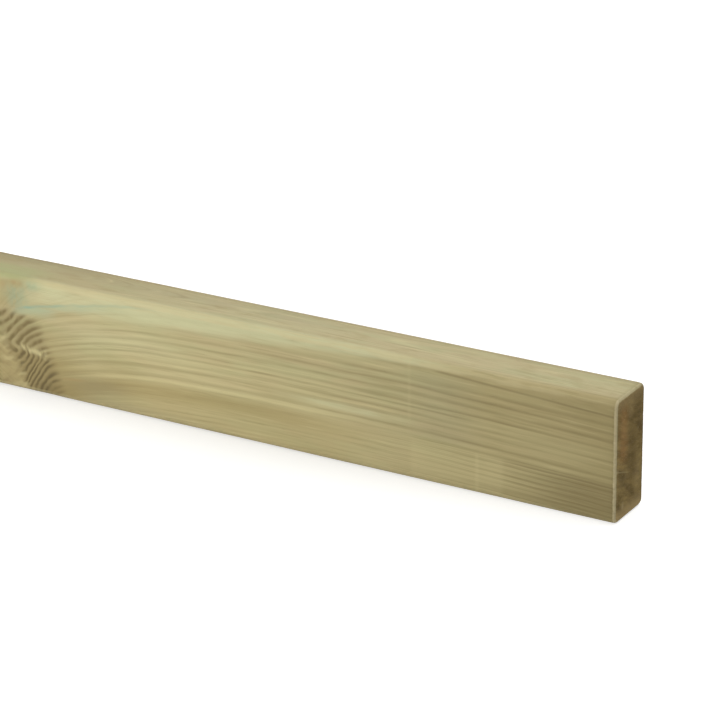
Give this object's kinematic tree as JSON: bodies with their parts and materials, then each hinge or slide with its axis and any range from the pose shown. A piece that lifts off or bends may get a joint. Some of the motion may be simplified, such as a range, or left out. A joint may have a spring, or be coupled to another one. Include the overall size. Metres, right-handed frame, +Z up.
{
  "type": "timber stud",
  "caption": "Straight planed softwood stud with rounded long edges and eased square-cut ends, for framing walls and battening.",
  "frame": {"origin": "centre of the narrow face that the stud stands on", "axes": "+X along the stud, +Y through its thickness towards the back face, +Z up its height"},
  "size_m": [2.4, 0.045, 0.095],
  "materials": {
    "planed_softwood": "planed, matt, faintly green from pressure treatment"
  },
  "bodies": {
    "root": {"timber_stud": "planed_softwood"}
  },
  "joints": []
}
